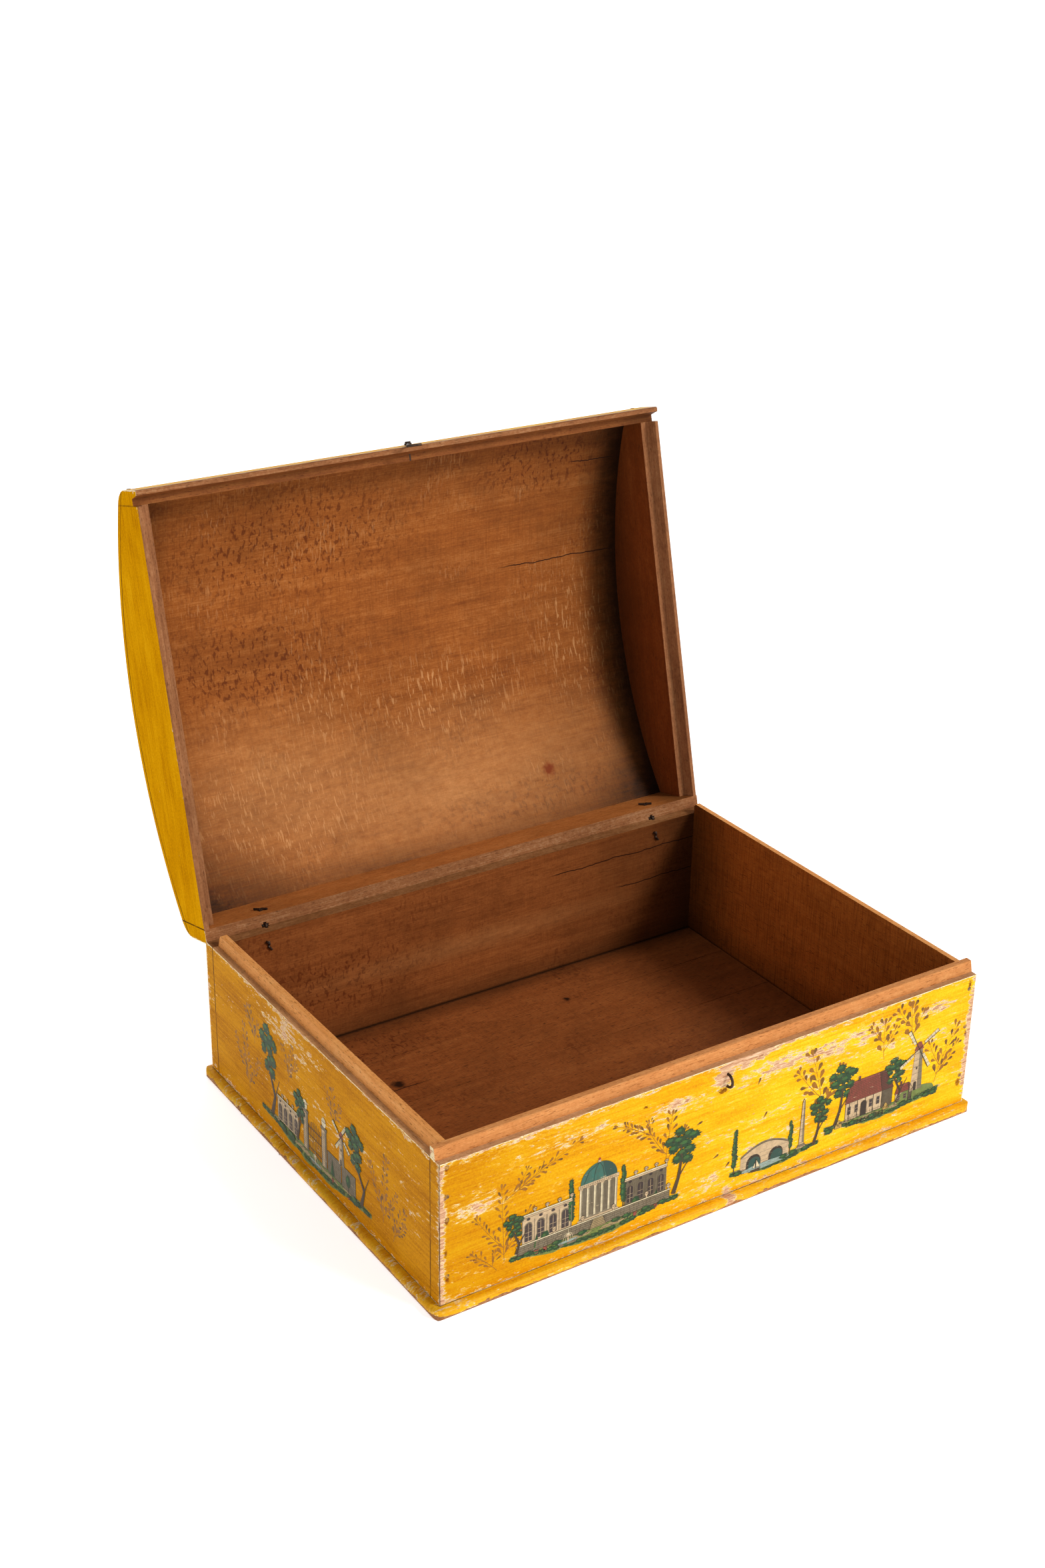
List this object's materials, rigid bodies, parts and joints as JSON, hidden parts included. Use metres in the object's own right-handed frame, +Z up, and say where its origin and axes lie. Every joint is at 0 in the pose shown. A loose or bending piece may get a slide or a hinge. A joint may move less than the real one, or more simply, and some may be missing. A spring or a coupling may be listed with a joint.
{
  "type": "storage chest",
  "caption": "Small domed wooden chest, painted yellow outside and bare inside, with a hinged lid laid back on its stop and a wire hook that drops into a staple.",
  "frame": {"origin": "centre of the base's flat underside", "axes": "+X along the front to the right as seen from the front, +Y from the front to the back, +Z up"},
  "size_m": [0.411, 0.4076, 0.3936],
  "materials": {
    "painted_wood": "thin golden yellow oil paint over a white ground, worn through to the wood at the edges; bare oiled brown wood on the inside faces",
    "floor_wood": "bare dark brown softwood inside, yellow paint worn to bare wood on the rounded edge",
    "iron_wire": "dark aged iron wire with a worn sheen"
  },
  "bodies": {
    "box": {"floor_plank_front": "floor_wood", "floor_plank_middle": "floor_wood", "floor_plank_back": "floor_wood", "front_board": "painted_wood", "back_board": "painted_wood", "side_left": "painted_wood", "side_right": "painted_wood", "hinge_eye_box_left": "iron_wire", "hinge_eye_box_right": "iron_wire", "catch_eye": "iron_wire", "corner_nails_front": "iron_wire", "corner_nails_back": "iron_wire", "floor_nails": "iron_wire"},
    "lid": {"lid_front_rail": "painted_wood", "lid_back_rail": "painted_wood", "lid_end_left": "painted_wood", "lid_end_right": "painted_wood", "lid_top": "painted_wood", "hinge_eye_lid_left": "iron_wire", "hinge_eye_lid_right": "iron_wire", "hook_pin": "iron_wire", "lid_rail_nails": "iron_wire", "lid_top_nails": "iron_wire"},
    "hook": {"lid_hook": "iron_wire"}
  },
  "joints": [
    {"name": "lid_hinge", "type": "hinge", "parent": "box", "child": "lid", "pos_m": [0, 0.1465, 0.1028], "axis": [1, 0, 0], "range_deg": [0, 103.8]},
    {"name": "hook_swing", "type": "hinge", "parent": "lid", "child": "hook", "pos_m": [0, 0.22567, 0.38778], "axis": [0, 0.2392, 0.971], "range_deg": [-140, 23.6]}
  ]
}
